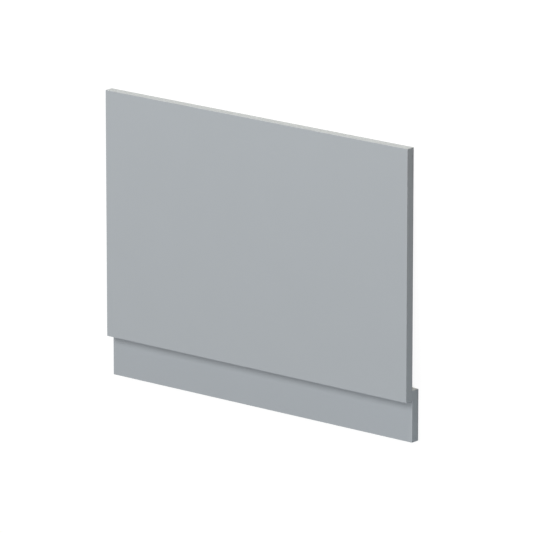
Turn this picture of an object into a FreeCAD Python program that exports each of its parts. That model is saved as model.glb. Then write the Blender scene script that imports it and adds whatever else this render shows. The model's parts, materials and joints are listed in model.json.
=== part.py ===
"""End panel for a bath: a flat front panel with a plinth board lapped behind its lower edge.

Both boards are modelled face up in one plane: X runs across the panel, Y up it towards its top
edge, and Z out of its front face. The panel's back lies at Z = 0 and its top edge along Y = 0.
The finished pair is then laid on its back, as it rests on a level floor.
"""

import FreeCAD, Part
import math
import os

# Boards, in millimetres
panel_width = 700.0
panel_height = 468.0
panel_thickness = 18.0
plinth_height = 97.0
plinth_thickness = 18.0
plinth_lap = 19.0
arris_radius = 0.5

# Screws that hold the plinth to the panel, driven in from behind
screw_count = 4
screw_end_inset = 50.0
screw_clearance_diameter = 4.5
countersink_diameter = 9.0
pilot_diameter = 3.0
pilot_cover = 6.0

# Cutting tools
countersink_angle = 90.0
drill_point_angle = 118.0
cut_margin = 1.0

# Places that follow from the sizes above
plinth_width = panel_width
plinth_top = plinth_lap - panel_height
screw_row = plinth_top - plinth_lap / 2
screw_span = plinth_width - 2 * screw_end_inset
screw_pitch = screw_span / (screw_count - 1)
pilot_depth = panel_thickness - pilot_cover
rest_tilt = math.atan2(plinth_thickness, panel_height - plinth_lap)

X_AXIS = FreeCAD.Vector(1, 0, 0)
Z_AXIS = FreeCAD.Vector(0, 0, 1)
ORIGIN = FreeCAD.Vector(0, 0, 0)


def eased_board(width, height, thickness, top, back):
    """A flat board centred on X, with its top edge at Y = top, its back at Z = back and every edge eased."""
    corner = FreeCAD.Vector(-width / 2, top - height, back)
    board = Part.makeBox(width, height, thickness, corner)
    return board.makeFillet(arris_radius, board.Edges)


def turned(profile):
    """A solid of revolution about Z from a closed half profile of (radius, height) points."""
    points = [FreeCAD.Vector(radius, 0, height) for radius, height in profile]
    outline = Part.makePolygon(points + points[:1])
    return Part.Face(outline).revolve(ORIGIN, Z_AXIS, 360)


def screw_holes(tool):
    """Copies of a hole-cutting tool along the row of screws, each starting from the panel's back."""
    first = -screw_span / 2
    places = [FreeCAD.Vector(first + index * screw_pitch, screw_row, 0) for index in range(screw_count)]
    return [tool.translated(place) for place in places]


def pilot_drill():
    """A drill with a conical point, run into the panel from its back."""
    radius = pilot_diameter / 2
    point = radius / math.tan(math.radians(drill_point_angle / 2))
    return turned([
        (0, -cut_margin),
        (radius, -cut_margin),
        (radius, pilot_depth - point),
        (0, pilot_depth),
    ])


def countersink_drill():
    """A clearance drill through the plinth that widens to a countersink at the plinth's back."""
    hole = screw_clearance_diameter / 2
    mouth = countersink_diameter / 2
    slope = math.tan(math.radians(countersink_angle / 2))
    return turned([
        (0, -plinth_thickness - cut_margin),
        (mouth + cut_margin * slope, -plinth_thickness - cut_margin),
        (hole, -plinth_thickness + (mouth - hole) / slope),
        (hole, cut_margin),
        (0, cut_margin),
    ])


def panel_board():
    """The front panel, with the plinth's seat marked off on its back and a pilot hole for each screw."""
    board = eased_board(panel_width, panel_height, panel_thickness, 0, 0)
    seat_corner = FreeCAD.Vector(-panel_width / 2, -panel_height, 0)
    seat = Part.makePlane(panel_width, plinth_lap, seat_corner)
    marked = board.generalFuse([seat])[0].Solids[0]
    return marked.cut(screw_holes(pilot_drill()))


def plinth_board():
    """The plinth, set behind the panel and standing below it, with a countersunk hole for each screw."""
    board = eased_board(plinth_width, plinth_height, plinth_thickness, plinth_top, -plinth_thickness)
    return board.cut(screw_holes(countersink_drill()))


def laid_down(boards):
    """The boards tilted until the panel's top edge and the plinth's upper edge both touch the floor.

    The origin ends up on the floor, at the middle of the ground that the boards cover.
    """
    tilt = FreeCAD.Placement(ORIGIN, FreeCAD.Rotation(X_AXIS, -math.degrees(rest_tilt)))
    tilted = {name: board.transformed(tilt.toMatrix()) for name, board in boards.items()}
    box = Part.makeCompound(list(tilted.values())).optimalBoundingBox(False, False)
    to_floor = FreeCAD.Vector(-box.Center.x, -box.Center.y, -box.ZMin)
    return {name: board.translated(to_floor) for name, board in tilted.items()}


def main():
    """Builds both boards, lays them down and writes one file for each."""
    boards = {"panel_board": panel_board(), "plinth_board": plinth_board()}
    os.makedirs("parts", exist_ok=True)
    for name, board in laid_down(boards).items():
        board.exportStep(f"parts/{name}.step")


main()
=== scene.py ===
"""Looks of a satin grey bath end panel and its plinth, built around the two packed boards.

The boards lie face up on the floor, as they are stored, and the camera looks down on them. Each class
holds one thing: the boards' own flat frame, a finish, the screws behind the plinth, the camera or the
studio. Lengths are in metres and angles in degrees, unless a name says otherwise.
"""

import json
import logging
import math
from dataclasses import dataclass
from enum import Enum
from typing import Any, Union

import bpy
import numpy as np
from mathutils import Matrix, Vector


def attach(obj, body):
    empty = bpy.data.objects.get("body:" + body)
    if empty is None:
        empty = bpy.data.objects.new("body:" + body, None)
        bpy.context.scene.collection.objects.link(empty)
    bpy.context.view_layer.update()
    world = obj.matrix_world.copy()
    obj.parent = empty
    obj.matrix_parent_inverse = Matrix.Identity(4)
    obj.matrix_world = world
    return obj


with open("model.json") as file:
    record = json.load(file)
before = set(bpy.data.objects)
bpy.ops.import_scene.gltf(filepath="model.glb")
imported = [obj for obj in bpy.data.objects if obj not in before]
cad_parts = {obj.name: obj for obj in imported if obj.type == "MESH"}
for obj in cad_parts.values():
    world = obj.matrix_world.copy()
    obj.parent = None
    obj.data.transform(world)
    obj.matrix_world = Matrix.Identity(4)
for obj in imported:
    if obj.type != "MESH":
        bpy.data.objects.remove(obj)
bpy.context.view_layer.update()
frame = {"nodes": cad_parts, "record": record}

LOG = logging.getLogger("bath_panel")
BODY = "root"

Colour = tuple[float, float, float]
Input = Union[bpy.types.NodeSocket, float, tuple, np.ndarray]


class Board(Enum):
    """The two boards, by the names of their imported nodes."""

    PANEL = "panel_board"
    PLINTH = "plinth_board"


@dataclass(frozen=True)
class Extent:
    """Lowest and highest corner of a board in the flat frame."""

    low: np.ndarray
    high: np.ndarray


@dataclass(frozen=True)
class FlatFrame:
    """The panel's own frame: x goes across it, y up it, and z out of its face.

    Attributes:
        origin: Middle of the top edge, on the plane of the panel's back, in the row frame.
        turn: Rotation whose columns are the flat frame's axes in the row frame.
    """

    origin: np.ndarray
    turn: np.ndarray

    @classmethod
    def from_record(cls, record: dict[str, Any]) -> "FlatFrame":
        """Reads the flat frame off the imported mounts.

        Args:
            record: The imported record, with the mounts top_edge and panel_back.

        Returns:
            The flat frame. Its y axis is the top edge's normal, and its z axis is opposite to the back's.
        """
        mounts = {mount["name"]: mount for mount in record["mounts"]}
        up = np.array(mounts["top_edge"]["axis"])
        out = -np.array(mounts["panel_back"]["axis"])
        edge = np.array(mounts["top_edge"]["pos_m"])
        back = np.array(mounts["panel_back"]["pos_m"])
        origin = edge - out * np.dot(edge - back, out)
        return cls(origin, np.column_stack((np.cross(up, out), up, out)))

    def place(self, points: np.ndarray) -> np.ndarray:
        """Carries points of the flat frame, one a row, into the row frame."""
        return points @ self.turn.T + self.origin

    def flat(self, points: np.ndarray) -> np.ndarray:
        """Carries points of the row frame, one a row, into the flat frame."""
        return (points - self.origin) @ self.turn

    def extent(self, board: Board) -> Extent:
        """Measures a board's mesh in the flat frame.

        Args:
            board: The board to measure.

        Returns:
            Its lowest and highest corner.
        """
        mesh = frame["nodes"][board.value].data
        points = np.empty(len(mesh.vertices) * 3)
        mesh.vertices.foreach_get("co", points)
        flat = self.flat(points.reshape(-1, 3))
        return Extent(flat.min(axis=0), flat.max(axis=0))


class NodeSheet:
    """Adds nodes to one node tree and joins their sockets."""

    def __init__(self, tree: bpy.types.NodeTree) -> None:
        """Keeps the tree that the nodes go into."""
        self.tree = tree

    def add(self, kind: str, **settings: Any) -> bpy.types.Node:
        """Adds one node.

        Args:
            kind: The node's type, without the prefix ShaderNode that most types have.
            settings: Properties of the node, such as its operation.

        Returns:
            The new node.
        """
        name = kind if kind.startswith("NodeGroup") else f"ShaderNode{kind}"
        node = self.tree.nodes.new(name)
        for key, value in settings.items():
            setattr(node, key, value)
        return node

    def feed(self, socket: bpy.types.NodeSocket, value: Input) -> None:
        """Links a socket to another one, or sets its own value.

        Args:
            socket: The input to feed.
            value: The output that it is linked to, or its own value.
        """
        if isinstance(value, bpy.types.NodeSocket):
            self.tree.links.new(value, socket)
        else:
            socket.default_value = value

    def math(self, operation: str, *values: Input, clamp: bool = False) -> bpy.types.NodeSocket:
        """Adds a Math node.

        Args:
            operation: The node's operation.
            values: Its inputs, in order.
            clamp: Whether the result is held between 0 and 1.

        Returns:
            The result's socket.
        """
        node = self.add("Math", operation=operation, use_clamp=clamp)
        for socket, value in zip(node.inputs, values):
            self.feed(socket, value)
        return node.outputs[0]

    def vector(self, operation: str, *values: Input) -> bpy.types.NodeSocket:
        """Adds a Vector Math node.

        Args:
            operation: The node's operation.
            values: Its inputs, in order.

        Returns:
            The resulting vector's socket.
        """
        node = self.add("VectorMath", operation=operation)
        for socket, value in zip(node.inputs, values):
            self.feed(socket, value)
        return node.outputs["Vector"]

    def noise(self, place: Input, size: float, detail: float = 2.0) -> bpy.types.NodeSocket:
        """Adds cloudy noise.

        Args:
            place: Where the noise is read, in metres.
            size: Width of its largest clouds.
            detail: How many finer octaves it has.

        Returns:
            A value around 0.5.
        """
        node = self.add("TexNoise", noise_dimensions="3D")
        self.feed(node.inputs["Vector"], place)
        node.inputs["Scale"].default_value = 1.0 / size
        node.inputs["Detail"].default_value = detail
        return node.outputs["Fac"]

    def swing(self, value: Input, amount: Input, middle: float = 1.0) -> bpy.types.NodeSocket:
        """Turns a value around 0.5 into one around middle that swings by up to amount either way.

        Args:
            value: A value from 0 to 1.
            amount: The largest swing either way.
            middle: The result where value is 0.5.

        Returns:
            middle + (2 * value - 1) * amount.
        """
        signed = self.math("MULTIPLY_ADD", value, 2.0, -1.0)
        return self.math("MULTIPLY_ADD", signed, amount, middle)

    def fade(self, value: Input, start: Input, end: Input) -> bpy.types.NodeSocket:
        """A smooth fall from 1 where value is at start to 0 where it is at end.

        Args:
            value: The value that fades.
            start: Where the fall starts.
            end: Where it ends.

        Returns:
            The faded value's socket.
        """
        node = self.add("MapRange", interpolation_type="SMOOTHSTEP", clamp=True)
        for name, given in (("Value", value), ("From Min", start), ("From Max", end)):
            self.feed(node.inputs[name], given)
        node.inputs["To Min"].default_value = 1.0
        node.inputs["To Max"].default_value = 0.0
        return node.outputs["Result"]

    def mix_colour(self, share: Input, first: Input, second: Input) -> bpy.types.NodeSocket:
        """Mixes two colours.

        Args:
            share: Share of the second colour.
            first: The first colour.
            second: The second colour.

        Returns:
            The mixed colour's socket.
        """
        node = self.add("Mix", data_type="RGBA")
        for name, given in (("Factor_Float", share), ("A_Color", first), ("B_Color", second)):
            self.feed(self.socket(node, name), given)
        return next(socket for socket in node.outputs if socket.identifier == "Result_Color")

    def mix_value(self, share: Input, first: Input, second: Input) -> bpy.types.NodeSocket:
        """Mixes two numbers and returns the result's socket."""
        span = self.math("SUBTRACT", second, first)
        return self.math("MULTIPLY_ADD", share, span, first)

    @staticmethod
    def socket(node: bpy.types.Node, identifier: str) -> bpy.types.NodeSocket:
        """Finds an input by its identifier, where several share a name."""
        return next(socket for socket in node.inputs if socket.identifier == identifier)


class NodeGroup:
    """A shader node group under construction, with its named inputs and outputs."""

    def __init__(self, name: str, inputs: dict[str, str], outputs: dict[str, str]) -> None:
        """Starts the group.

        Args:
            name: The group's name.
            inputs: Socket types by input name.
            outputs: Socket types by output name.
        """
        self.tree = bpy.data.node_groups.new(name, "ShaderNodeTree")
        for direction, sockets in (("INPUT", inputs), ("OUTPUT", outputs)):
            for label, kind in sockets.items():
                self.tree.interface.new_socket(label, in_out=direction, socket_type=f"NodeSocket{kind}")
        self.sheet = NodeSheet(self.tree)
        self.inputs = self.sheet.add("NodeGroupInput").outputs
        self.outputs = self.sheet.add("NodeGroupOutput").inputs

    def give(self, name: str, value: Input) -> None:
        """Feeds one of the group's outputs."""
        self.sheet.feed(self.outputs[name], value)


def arris_group() -> bpy.types.NodeTree:
    """Marks the eased edges of a board.

    The distances to the nearest face along x, y and z are sorted, and the middle one is the distance to
    the nearest edge. The mask is 1 on the edge and fades to 0 at the given width.

    Returns:
        A group that takes the place and the board's two corners in the flat frame, and gives the mask.
    """
    group = NodeGroup(
        "arris_mask",
        {"Place": "Vector", "Low": "Vector", "High": "Vector", "Width": "Float"},
        {"Mask": "Float"},
    )
    sheet, given = group.sheet, group.inputs
    inside = sheet.vector(
        "MINIMUM",
        sheet.vector("SUBTRACT", given["Place"], given["Low"]),
        sheet.vector("SUBTRACT", given["High"], given["Place"]),
    )
    split = sheet.add("SeparateXYZ")
    sheet.feed(split.inputs[0], inside)
    x, y, z = split.outputs
    lesser = sheet.math("MINIMUM", x, y)
    greater = sheet.math("MAXIMUM", x, y)
    middle = sheet.math("MAXIMUM", lesser, sheet.math("MINIMUM", greater, z))
    group.give("Mask", sheet.fade(middle, 0.0, given["Width"]))
    return group.tree


@dataclass(frozen=True)
class SatinGrey:
    """The boards' satin grey lacquer, as the spray gun leaves it, with a highlight painted along the arris.

    Attributes:
        colour: Linear colour of the lacquer.
        roughness: Its roughness, before the faint clouds.
        specular: How strongly it mirrors, where 0.5 is full gloss paint.
        cloud_size: Width of the faint clouds of colour.
        cloud_tone: How far the clouds change the colour either way, as a share of it.
        fleck_size: Width of the fine fleck.
        fleck_tone: How far the fleck changes the colour either way, as a share of it.
        sheen_size: Width of the clouds of sheen.
        sheen_swing: How far they change the roughness either way.
        arris_width: How far from an edge the polished arris reaches.
        arris_highlight: Painted highlight: how much paler the lacquer is painted on the arris, as a share
            of the colour.
        arris_polish: How much less rough it is there.
        peel_size: Width of the dimples of orange peel.
        peel_height: Height of the orange peel.
        grain_size: Width of the finer grain in the peel.
        grain_share: Height of that grain, as a share of the peel's.
    """

    colour: Colour = (0.400, 0.429, 0.455)
    roughness: float = 0.48
    specular: float = 0.28
    cloud_size: float = 0.085
    cloud_tone: float = 0.012
    fleck_size: float = 0.0007
    fleck_tone: float = 0.010
    sheen_size: float = 0.040
    sheen_swing: float = 0.035
    arris_width: float = 0.0010
    arris_highlight: float = 0.035
    arris_polish: float = 0.06
    peel_size: float = 0.0026
    peel_height: float = 0.000006
    grain_size: float = 0.0006
    grain_share: float = 0.22

    def group(self) -> bpy.types.NodeTree:
        """Builds the sprayed coat: clouds of colour and sheen, a fine fleck, a painted highlight on the
        arris and the dimples of orange peel.

        Returns:
            A group that takes the place in the flat frame, the written colour and roughness, and the edge
            mask, and gives the varied colour and roughness and the height of the peel.
        """
        group = NodeGroup(
            "sprayed_lacquer",
            {"Place": "Vector", "Colour": "Color", "Roughness": "Float", "Arris": "Float"},
            {"Colour": "Color", "Roughness": "Float", "Height": "Float"},
        )
        sheet, given = group.sheet, group.inputs
        cloud = sheet.swing(sheet.noise(given["Place"], self.cloud_size), self.cloud_tone)
        fleck = sheet.swing(sheet.noise(given["Place"], self.fleck_size, detail=1.0), self.fleck_tone)
        # Painted highlight: the colour is made paler along the arris, as if the edges caught the light.
        edge = sheet.math("MULTIPLY_ADD", given["Arris"], self.arris_highlight, 1.0)
        tone = sheet.math("MULTIPLY", sheet.math("MULTIPLY", cloud, fleck), edge)
        tint = sheet.add("CombineXYZ")
        for socket in tint.inputs:
            sheet.feed(socket, tone)
        group.give("Colour", sheet.vector("MULTIPLY", given["Colour"], tint.outputs[0]))

        sheen = sheet.swing(sheet.noise(given["Place"], self.sheen_size, detail=3.0), self.sheen_swing, 0.0)
        polish = sheet.math("MULTIPLY_ADD", given["Arris"], -self.arris_polish, given["Roughness"])
        group.give("Roughness", sheet.math("ADD", polish, sheen, clamp=True))

        peel = sheet.noise(given["Place"], self.peel_size, detail=1.0)
        grain = sheet.noise(given["Place"], self.grain_size, detail=0.0)
        group.give("Height", sheet.math("MULTIPLY_ADD", grain, self.grain_share, peel))
        return group.tree


@dataclass(frozen=True)
class RawFibreboard:
    """The bare fibreboard that a drill leaves on the walls of a hole.

    Attributes:
        colour: Linear colour of the fibres.
        dark: Linear colour between the fibres.
        roughness: Its roughness.
        fibre_size: Width of the fibres' clumps.
    """

    colour: Colour = (0.400, 0.270, 0.160)
    dark: Colour = (0.250, 0.160, 0.090)
    roughness: float = 0.92
    fibre_size: float = 0.0009


@dataclass(frozen=True)
class ZincPlate:
    """Bright zinc plating on the screws.

    Attributes:
        colour: Linear colour of the metal.
        dull: Linear colour of its duller patches.
        roughness: Its roughness, before the patches.
        roughness_swing: How far the patches change it either way.
        patch_size: Width of the patches.
    """

    colour: Colour = (0.720, 0.720, 0.700)
    dull: Colour = (0.560, 0.565, 0.560)
    roughness: float = 0.30
    roughness_swing: float = 0.12
    patch_size: float = 0.0022

    def material(self) -> bpy.types.Material:
        """Builds the plating.

        Returns:
            A metal whose colour and roughness change from patch to patch.
        """
        material, sheet, shader = principled_material("zinc_plate")
        place = sheet.add("TexCoord").outputs["Object"]
        patch = sheet.noise(place, self.patch_size, detail=3.0)
        colour = sheet.mix_colour(patch, (*self.dull, 1.0), (*self.colour, 1.0))
        sheet.feed(shader.inputs["Base Color"], colour)
        roughness = sheet.swing(patch, self.roughness_swing, self.roughness)
        sheet.feed(shader.inputs["Roughness"], roughness)
        shader.inputs["Metallic"].default_value = 1.0
        return material


def empty_material(name: str) -> tuple[bpy.types.Material, NodeSheet, bpy.types.NodeSocket]:
    """Starts a material that has no shader yet.

    Args:
        name: The material's name.

    Returns:
        The material, a sheet for its nodes, and the socket that its shader goes into.
    """
    material = bpy.data.materials.new(name)
    material.use_nodes = True
    material.node_tree.nodes.clear()
    sheet = NodeSheet(material.node_tree)
    return material, sheet, sheet.add("OutputMaterial").inputs["Surface"]


def principled_material(name: str) -> tuple[bpy.types.Material, NodeSheet, bpy.types.Node]:
    """Starts a material with one Principled shader.

    Args:
        name: The material's name.

    Returns:
        The material, a sheet for its nodes, and the shader.
    """
    material, sheet, surface = empty_material(name)
    shader = sheet.add("BsdfPrincipled")
    sheet.feed(surface, shader.outputs[0])
    return material, sheet, shader


def ease(share: np.ndarray) -> np.ndarray:
    """Smooths a share so that it leaves 0 and reaches 1 level: 3 of its square less 2 of its cube."""
    return share * share * (3 - 2 * share)


def mesh_object(name: str, points: np.ndarray, faces: list[list[int]]) -> bpy.types.Object:
    """Makes a mesh object at the origin.

    Args:
        name: The object's name.
        points: Its corners in the row frame, one a row.
        faces: Corner numbers of each face, turning so that the face points outwards.

    Returns:
        The linked object.
    """
    mesh = bpy.data.meshes.new(name)
    mesh.from_pydata(points.tolist(), [], faces)
    mesh.update()
    piece = bpy.data.objects.new(name, mesh)
    bpy.context.scene.collection.objects.link(piece)
    return piece


@dataclass(frozen=True)
class FixingScrews:
    """Countersunk wood screws that hold the plinth to the panel, driven in from behind.

    Attributes:
        flat: The panel's flat frame.
        plate: The screws' finish.
        count: How many there are.
        end_inset: From the plinth's ends to the first and last screw.
        length: From the top of the head to the tip.
        head_radius: Radius of the head.
        head_sink: How far the head lies below the plinth's back.
        head_edge: Radius of the head's rounded rim.
        edge_start: Where the rim's round starts, as an angle from the head's face.
        rim_height: Height of the rim above the cone.
        neck_radius: Radius of the plain neck.
        neck_length: From the cone to the first thread.
        core_radius: Radius at the root of the thread.
        thread_radius: Radius at the thread's crest.
        thread_pitch: From one turn to the next.
        ridge_half_width: Half the width of the thread's foot, as a share of the pitch.
        tip_length: Length of the tapered tip.
        recess_arm: How far the cross recess reaches from the middle.
        recess_half_width: Half the width of its arms.
        recess_depth: Its depth in the middle.
        recess_blur: How soft its walls are, as a share of the arms' half width.
        recess_rise: How much shallower it is at the ends of the arms, as a share of its depth.
        sides: Points round the screw.
        face_rings: Rings across the head's face.
        edge_rings: Rings round its rim.
        cone_rings: Rings down the cone.
        shank_rings: Rings along the thread and the tip.
        crease: Angle between faces past which their edge stays sharp.
    """

    flat: FlatFrame
    plate: ZincPlate
    count: int = 4
    end_inset: float = 0.050
    length: float = 0.030
    head_radius: float = 0.00395
    head_sink: float = 0.00034
    head_edge: float = 0.00012
    edge_start: float = 15.0
    rim_height: float = 0.00022
    neck_radius: float = 0.00140
    neck_length: float = 0.0050
    core_radius: float = 0.00130
    thread_radius: float = 0.00200
    thread_pitch: float = 0.0018
    ridge_half_width: float = 0.3125
    tip_length: float = 0.0050
    recess_arm: float = 0.00235
    recess_half_width: float = 0.00050
    recess_depth: float = 0.00190
    recess_blur: float = 1 / 6
    recess_rise: float = 0.55
    sides: int = 72
    face_rings: int = 40
    edge_rings: int = 6
    cone_rings: int = 8
    shank_rings: int = 109
    crease: float = 40.0

    def row(self) -> tuple[np.ndarray, float, float]:
        """Works out where the screws go: evenly between the end insets, half way up the lap.

        Returns:
            The screws' places across the plinth, their height in the lap, and the plane of the plinth's
            back, all in the flat frame.
        """
        panel = self.flat.extent(Board.PANEL)
        plinth = self.flat.extent(Board.PLINTH)
        across = np.linspace(plinth.low[0] + self.end_inset, plinth.high[0] - self.end_inset, self.count)
        return across, (panel.low[1] + plinth.high[1]) / 2, plinth.low[2]

    def recess(self, radius: np.ndarray, turn: np.ndarray) -> np.ndarray:
        """Depth of the cross recess in the head.

        A point's distance from the nearer axis of the cross is the lesser of |x| and |y|, and its reach
        along the arm is the greater. The depth is full within the arm's half width, falls smoothly to
        nothing over the blur on both sides of it, and shallows with the square of the reach.

        Args:
            radius: Distances from the middle of the head.
            turn: Angles round it, in radians.

        Returns:
            The depth at each point.
        """
        x = np.abs(radius * np.cos(turn))
        y = np.abs(radius * np.sin(turn))
        aside = np.minimum(x, y)
        reach = np.maximum(x, y) / self.recess_arm
        blur = self.recess_half_width * self.recess_blur
        wall = np.clip((self.recess_half_width + blur - aside) / (2 * blur), 0, 1)
        end = np.clip((1 - reach) * self.recess_arm / (2 * blur), 0, 1)
        slope = np.clip(1 - self.recess_rise * reach**2, 0, 1)
        return self.recess_depth * ease(wall) * ease(end) * slope

    def profile(self) -> tuple[np.ndarray, np.ndarray, np.ndarray]:
        """The screw's half section, from the middle of the head to the tip.

        The head's face is level, its rim is a quarter round, and the cone below narrows by as much as it
        deepens. The core keeps its radius along the thread and narrows evenly over the tip. The thread
        rises evenly over its first turn, and falls with the square root of the tip's taper.

        Returns:
            Three arrays along the section: the radius without the thread, the depth below the plinth's
            back, and the height of the thread.
        """
        top = self.head_sink
        cone_start = top + self.rim_height
        cone_end = cone_start + self.head_radius - self.neck_radius
        thread_start = cone_end + self.neck_length
        tip_end = top + self.length
        tip_start = tip_end - self.tip_length
        round_off = np.radians(np.linspace(self.edge_start, 90, self.edge_rings))
        along = np.linspace(thread_start, tip_end, self.shank_rings, endpoint=False)
        taper = np.clip((tip_end - along) / (tip_end - tip_start), 0, 1)
        run_in = np.clip((along - thread_start) / self.thread_pitch, 0, 1)
        face = np.linspace(0, self.head_radius - self.head_edge, self.face_rings + 1)[1:]
        radius = np.concatenate((
            face,
            self.head_radius - self.head_edge * (1 - np.sin(round_off)),
            np.linspace(self.head_radius, self.neck_radius, self.cone_rings),
            self.core_radius * taper,
        ))
        depth = np.concatenate((
            np.full_like(face, top),
            top + self.head_edge * (1 - np.cos(round_off)),
            np.linspace(cone_start, cone_end, self.cone_rings),
            along,
        ))
        plain = len(radius) - len(along)
        thread = np.concatenate((
            np.zeros(plain),
            (self.thread_radius - self.core_radius) * run_in * np.sqrt(taper),
        ))
        return radius, depth, thread

    def surface(self) -> tuple[np.ndarray, list[list[int]]]:
        """The whole screw as one closed surface of the section's parameter and the angle round it.

        The thread adds to the radius a ridge that rises and falls evenly once a pitch, and moves along by
        one pitch a turn. The head's face sinks by the depth of the cross recess.

        Returns:
            The points, with x and y across the screw and z into the boards, and the faces.
        """
        radius, depth, thread = (values[:, None] for values in self.profile())
        turn = np.linspace(0, 2 * math.pi, self.sides, endpoint=False)[None, :]
        phase = (depth / self.thread_pitch - turn / (2 * math.pi)) % 1.0
        ridge = np.clip(1 - np.abs(phase - 0.5) / self.ridge_half_width, 0, 1)
        on_face = depth <= self.head_sink
        reach = radius + thread * ridge
        sunk = depth + np.where(on_face, self.recess(reach, turn), 0.0)
        grid = np.stack(np.broadcast_arrays(reach * np.cos(turn), reach * np.sin(turn), sunk), axis=-1)
        middle = [0.0, 0.0, self.head_sink + self.recess_depth]
        tip = [0.0, 0.0, self.head_sink + self.length]
        points = np.vstack((grid.reshape(-1, 3), middle, tip))
        return points, self.faces(len(radius), len(points))

    def faces(self, rings: int, total: int) -> list[list[int]]:
        """Joins the grid's rings, and closes both ends with fans.

        Args:
            rings: How many rings the grid has.
            total: How many points there are, with the two end points last.

        Returns:
            Corner numbers of every face.
        """
        number = np.arange(rings * self.sides).reshape(rings, self.sides)
        beside = np.roll(number, -1, axis=1)
        quads = np.stack((number[:-1], beside[:-1], beside[1:], number[1:]), axis=-1).reshape(-1, 4)
        head = np.stack((np.full(self.sides, total - 2), beside[0], number[0]), axis=-1)
        tip = np.stack((np.full(self.sides, total - 1), number[-1], beside[-1]), axis=-1)
        return quads.tolist() + head.tolist() + tip.tolist()

    def build(self) -> list[bpy.types.Object]:
        """Makes every screw, dresses it and lets it ride with the boards.

        Returns:
            The screws.
        """
        points, faces = self.surface()
        across, height, back = self.row()
        finish = self.plate.material()
        screws = []
        for index, x in enumerate(across, start=1):
            screw = mesh_object(f"fixing_screw_{index}", self.flat.place(points + (x, height, back)), faces)
            screw.data.shade_smooth()
            screw.data.set_sharp_from_angle(angle=math.radians(self.crease))
            screw.data.materials.append(finish)
            screws.append(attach(screw, BODY))
        return screws


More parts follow.
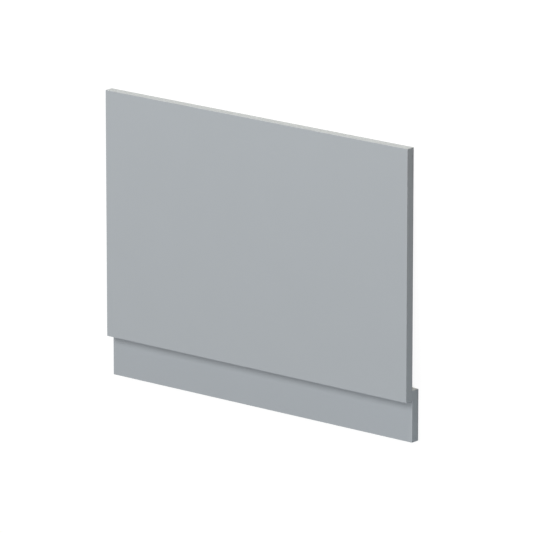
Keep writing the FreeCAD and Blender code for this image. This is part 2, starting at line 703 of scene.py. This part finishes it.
@dataclass(frozen=True)
class LacqueredBoards:
    """The panel and the plinth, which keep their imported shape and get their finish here.

    Attributes:
        flat: The panel's flat frame.
        lacquer: The boards' lacquer.
        bare: The fibreboard inside the drilled holes.
        screws: The screws, whose holes show bare fibreboard.
        hole_radius: Radius of the countersinks at the plinth's back.
        hole_blur: How much of that radius the lacquer takes to give way to bare board, as a share of it.
    """

    flat: FlatFrame
    lacquer: SatinGrey
    bare: RawFibreboard
    screws: FixingScrews
    hole_radius: float = 0.0045
    hole_blur: float = 0.03

    def dress(self) -> list[bpy.types.Object]:
        """Gives each board its own material.

        Returns:
            The dressed boards.
        """
        groups = self.lacquer.group(), arris_group()
        boards = []
        for board in Board:
            piece = frame["nodes"][board.value]
            piece.material_slots[0].material = self.material(board, *groups)
            boards.append(piece)
        return boards

    def material(
        self, board: Board, lacquer: bpy.types.NodeTree, arris: bpy.types.NodeTree
    ) -> bpy.types.Material:
        """Builds one board's lacquer, with bare fibreboard in the plinth's holes.

        Args:
            board: The board that it goes on.
            lacquer: The node group of the sprayed lacquer.
            arris: The node group that marks the edges.

        Returns:
            The material.
        """
        material, sheet, shader = principled_material(f"satin_grey_{board.name.lower()}")
        place = self.flat_place(sheet)
        extent = self.flat.extent(board)
        edges = sheet.add("Group", node_tree=arris)
        for name, value in (("Place", place), ("Low", extent.low), ("High", extent.high)):
            sheet.feed(edges.inputs[name], value)
        edges.inputs["Width"].default_value = self.lacquer.arris_width
        coat = sheet.add("Group", node_tree=lacquer)
        sheet.feed(coat.inputs["Place"], place)
        sheet.feed(coat.inputs["Arris"], edges.outputs["Mask"])
        coat.inputs["Colour"].default_value = (*self.lacquer.colour, 1.0)
        coat.inputs["Roughness"].default_value = self.lacquer.roughness
        colour, roughness = coat.outputs["Colour"], coat.outputs["Roughness"]
        if board is Board.PLINTH:
            colour, roughness = self.drilled(sheet, place, colour, roughness)
        bump = sheet.add("Bump")
        bump.inputs["Distance"].default_value = self.lacquer.peel_height
        sheet.feed(bump.inputs["Height"], coat.outputs["Height"])
        sheet.feed(shader.inputs["Base Color"], colour)
        sheet.feed(shader.inputs["Roughness"], roughness)
        sheet.feed(shader.inputs["Normal"], bump.outputs["Normal"])
        shader.inputs["Specular IOR Level"].default_value = self.lacquer.specular
        return material

    def flat_place(self, sheet: NodeSheet) -> bpy.types.NodeSocket:
        """Turns Object coordinates into the flat frame.

        Args:
            sheet: The material's sheet.

        Returns:
            The socket of the place in the flat frame.
        """
        back = Matrix(self.flat.turn.T.tolist())
        mapping = sheet.add("Mapping", vector_type="POINT")
        mapping.inputs["Rotation"].default_value = back.to_euler()
        mapping.inputs["Location"].default_value = -(back @ Vector(self.flat.origin))
        sheet.feed(mapping.inputs["Vector"], sheet.add("TexCoord").outputs["Object"])
        return mapping.outputs["Vector"]

    def drilled(
        self,
        sheet: NodeSheet,
        place: bpy.types.NodeSocket,
        colour: bpy.types.NodeSocket,
        roughness: bpy.types.NodeSocket,
    ) -> tuple[bpy.types.NodeSocket, bpy.types.NodeSocket]:
        """Bares the fibreboard within each screw's countersink.

        The distance across to the nearest screw repeats once a pitch, and with the height above the row it
        gives the distance from the screw's axis.

        Args:
            sheet: The material's sheet.
            place: The place in the flat frame.
            colour: The lacquer's colour.
            roughness: The lacquer's roughness.

        Returns:
            The colour and the roughness with the holes.
        """
        across, height, _ = self.screws.row()
        pitch = float(across[1] - across[0])
        split = sheet.add("SeparateXYZ")
        sheet.feed(split.inputs[0], place)
        started = sheet.math("SUBTRACT", split.outputs["X"], float(across[0]) - pitch / 2)
        aside = sheet.math("SUBTRACT", sheet.math("FLOORED_MODULO", started, pitch), pitch / 2)
        above = sheet.math("SUBTRACT", split.outputs["Y"], float(height))
        squares = sheet.math("MULTIPLY_ADD", aside, aside, sheet.math("MULTIPLY", above, above))
        bare_radius = self.hole_radius * (1 - self.hole_blur)
        hole = sheet.fade(sheet.math("SQRT", squares), bare_radius, self.hole_radius)
        fibres = sheet.noise(place, self.bare.fibre_size, detail=3.0)
        board = sheet.mix_colour(fibres, (*self.bare.dark, 1.0), (*self.bare.colour, 1.0))
        return (
            sheet.mix_colour(hole, colour, board),
            sheet.mix_value(hole, roughness, self.bare.roughness),
        )


@dataclass(frozen=True)
class PhotoCamera:
    """The camera, placed as it would stand in front of the fitted panel.

    Attributes:
        flat: The panel's flat frame.
        azimuth: How far it stands round to the panel's right, seen from the front.
        elevation: How far it looks down on the fitted panel.
        distance: From the camera to the middle of the panel's lower front edge, along the line of sight.
        aim_right: How far the line of sight passes to the right of that point.
        aim_up: How far it passes above that point.
        lens: Focal length, in millimetres.
        sensor: Width of the sensor, in millimetres.
    """

    flat: FlatFrame
    azimuth: float = 38.997
    elevation: float = 15.259
    distance: float = 12.0723
    aim_right: float = 0.02271
    aim_up: float = 0.18619
    lens: float = 448.74
    sensor: float = 36.0

    def build(self) -> bpy.types.Object:
        """Makes the camera and hands it to the scene.

        The line of sight leaves the panel's right, front and top in the shares that the azimuth and the
        elevation give, and the three camera axes are then carried into the row frame.

        Returns:
            The camera.
        """
        azimuth, elevation = math.radians(self.azimuth), math.radians(self.elevation)
        right = Vector((math.cos(azimuth), 0.0, -math.sin(azimuth)))
        back = Vector((
            math.sin(azimuth) * math.cos(elevation),
            math.sin(elevation),
            math.cos(azimuth) * math.cos(elevation),
        ))
        up = back.cross(right)
        panel = self.flat.extent(Board.PANEL)
        foot = Vector((0.0, panel.low[1], panel.high[2]))
        stand = foot + back * self.distance + right * self.aim_right + up * self.aim_up
        axes = np.column_stack((right, up, back))
        matrix = Matrix((self.flat.turn @ axes).tolist()).to_4x4()
        matrix.translation = self.flat.place(np.array(stand))

        data = bpy.data.cameras.new("photo_camera")
        data.sensor_fit = "HORIZONTAL"
        data.sensor_width = self.sensor
        data.lens = self.lens
        camera = bpy.data.objects.new("photo_camera", data)
        camera.matrix_world = matrix
        bpy.context.scene.collection.objects.link(camera)
        bpy.context.scene.camera = camera
        return camera


@dataclass(frozen=True)
class Softbox:
    """A soft lamp that looks at the middle of the boards.

    Attributes:
        name: The lamp's name.
        bearing: Where it stands round the boards: 0 is beyond the panel's top edge, 90 is to its right.
        elevation: How far above the floor it stands, seen from the middle of the boards.
        distance: How far away it stands.
        width: Its width.
        height: Its height.
        brightness: How bright its face is, where 1 shows as white.
        colour: Its linear colour.
        sheen: Whether it shows in the sheen of the surfaces that it lights.
    """

    name: str
    bearing: float
    elevation: float
    distance: float
    width: float
    height: float
    brightness: float
    colour: Colour = (1.0, 1.0, 1.0)
    sheen: bool = True

    def build(self) -> bpy.types.Object:
        """Makes the lamp.

        Its power is its brightness times pi times its area.

        Returns:
            The lamp.
        """
        data = bpy.data.lights.new(self.name, "AREA")
        data.shape = "RECTANGLE"
        data.size = self.width
        data.size_y = self.height
        data.energy = self.brightness * math.pi * self.width * self.height
        data.color = self.colour
        lamp = bpy.data.objects.new(self.name, data)
        bearing, elevation = math.radians(self.bearing), math.radians(self.elevation)
        stand = Vector((
            math.sin(bearing) * math.cos(elevation),
            math.cos(bearing) * math.cos(elevation),
            math.sin(elevation),
        ))
        aim = stand.to_track_quat("Z", "Y").to_matrix().to_4x4()
        lamp.matrix_world = Matrix.Translation(stand * self.distance) @ aim
        lamp.visible_camera = False
        lamp.visible_glossy = self.sheen
        bpy.context.scene.collection.objects.link(lamp)
        return lamp


@dataclass(frozen=True)
class Studio:
    """A pale floor, soft lamps and a dim white room that shows as white.

    Attributes:
        floor_half: Half the floor's side.
        floor_colour: Linear colour of the floor as light bounces off it.
        white_glow: Plain white that the floor shows whatever the light, which keeps its shadows faint.
        contact_shadow_glow: The glow where something close above covers the floor, dimmed there as a
            painted contact shadow.
        contact_shadow_reach: How far above the floor that may be, for the painted contact shadow.
        contact_shadow_sky: Shares of open sky at which the painted contact shadow is full and at which it
            is gone.
        shadow_tone: How much of the light that falls on the floor shows besides.
        room_light: How much light the room gives from all round.
        lamps: The lamps.
    """

    floor_half: float = 2.0
    floor_colour: Colour = (0.60, 0.60, 0.60)
    white_glow: float = 0.95
    contact_shadow_glow: float = 0.25
    contact_shadow_reach: float = 0.12
    contact_shadow_sky: tuple[float, float] = (0.02, 0.12)
    shadow_tone: float = 0.10
    room_light: float = 0.03
    lamps: tuple[Softbox, ...] = (
        Softbox(
            "overhead_softbox", bearing=-54.5, elevation=76.0, distance=12.0,
            width=4.2, height=4.2, brightness=11.25,
        ),
        Softbox(
            "key_softbox", bearing=-3.5, elevation=51.5, distance=4.9,
            width=7.0, height=2.0, brightness=3.84,
        ),
        Softbox(
            "top_edge_lamp", bearing=8.5, elevation=3.2, distance=8.0,
            width=1.2, height=0.8, brightness=126.0, colour=(1.0, 0.915, 0.75), sheen=False,
        ),
        Softbox(
            "right_fill", bearing=128.0, elevation=10.0, distance=0.95,
            width=0.6, height=0.3, brightness=0.66, colour=(0.70, 0.97, 1.17),
        ),
        Softbox(
            "lower_edge_lamp", bearing=180.0, elevation=2.4, distance=6.0,
            width=1.2, height=0.4, brightness=28.0, colour=(1.0, 0.96, 0.90), sheen=False,
        ),
    )

    def build(self) -> None:
        """Makes the floor, the lamps and the room."""
        self.floor()
        for lamp in self.lamps:
            lamp.build()
        self.room()

    @staticmethod
    def seen(sheet: NodeSheet) -> bpy.types.NodeSocket:
        """Marks the rays that come from the camera, a reflection or glass.

        Args:
            sheet: The sheet of the floor or of the room.

        Returns:
            A value that is 1 for such rays and 0 for those that carry light.
        """
        path = sheet.add("LightPath").outputs
        mirrored = sheet.math("MAXIMUM", path["Is Glossy Ray"], path["Is Transmission Ray"])
        return sheet.math("MAXIMUM", path["Is Camera Ray"], mirrored)

    def floor(self) -> bpy.types.Object:
        """Makes the floor: a square whose corners are every pairing of plus and minus its half side.

        It shows white with a faint shadow, and a painted contact shadow dims its glow where something close
        above covers most of its sky.

        Returns:
            The floor.
        """
        corners = np.array([(-1, -1, 0), (1, -1, 0), (1, 1, 0), (-1, 1, 0)]) * self.floor_half
        floor = mesh_object("floor", corners, [[0, 1, 2, 3]])
        material, sheet, surface = empty_material("pale_floor")
        lit = sheet.add("BsdfDiffuse")
        lit.inputs["Color"].default_value = (*self.floor_colour, 1.0)
        faint = sheet.add("BsdfDiffuse")
        faint.inputs["Color"].default_value = (*[self.shadow_tone] * 3, 1.0)
        # Painted contact shadow: ambient occlusion dims the floor's white glow where something close above
        # covers it.
        sky = sheet.add("AmbientOcclusion")
        sky.inputs["Distance"].default_value = self.contact_shadow_reach
        painted_contact_shadow = sheet.fade(sky.outputs["AO"], *self.contact_shadow_sky)
        white = sheet.add("Emission")
        sheet.feed(white.inputs["Strength"], sheet.mix_value(painted_contact_shadow, self.white_glow, self.contact_shadow_glow))
        shown = sheet.add("AddShader")
        sheet.feed(shown.inputs[0], faint.outputs[0])
        sheet.feed(shown.inputs[1], white.outputs[0])
        either = sheet.add("MixShader")
        sheet.feed(either.inputs[0], self.seen(sheet))
        sheet.feed(either.inputs[1], lit.outputs[0])
        sheet.feed(either.inputs[2], shown.outputs[0])
        sheet.feed(surface, either.outputs[0])
        floor.data.materials.append(material)
        return floor

    def room(self) -> None:
        """Makes the room: white where it is seen, and dim where it lights the boards."""
        world = bpy.data.worlds.new("white_room")
        world.use_nodes = True
        world.node_tree.nodes.clear()
        sheet = NodeSheet(world.node_tree)
        backdrop = sheet.add("Background")
        strength = sheet.mix_value(self.seen(sheet), self.room_light, 1.0)
        backdrop.inputs["Color"].default_value = (1.0, 1.0, 1.0, 1.0)
        sheet.feed(backdrop.inputs["Strength"], strength)
        output = sheet.add("OutputWorld")
        sheet.feed(output.inputs["Surface"], backdrop.outputs[0])
        bpy.context.scene.world = world


def main() -> None:
    """Dresses the boards, adds the screws, and sets up the camera and the studio."""
    logging.basicConfig(level=logging.INFO, format="%(name)s: %(message)s")
    flat = FlatFrame.from_record(frame["record"])
    PhotoCamera(flat).build()
    screws = FixingScrews(flat, ZincPlate())
    boards = LacqueredBoards(flat, SatinGrey(), RawFibreboard(), screws)
    for piece in boards.dress() + screws.build():
        LOG.info("%s has %d faces", piece.name, len(piece.data.polygons))
    Studio().build()
    bpy.context.scene.view_settings.view_transform = "Standard"


if __name__ == "__main__":
    main()
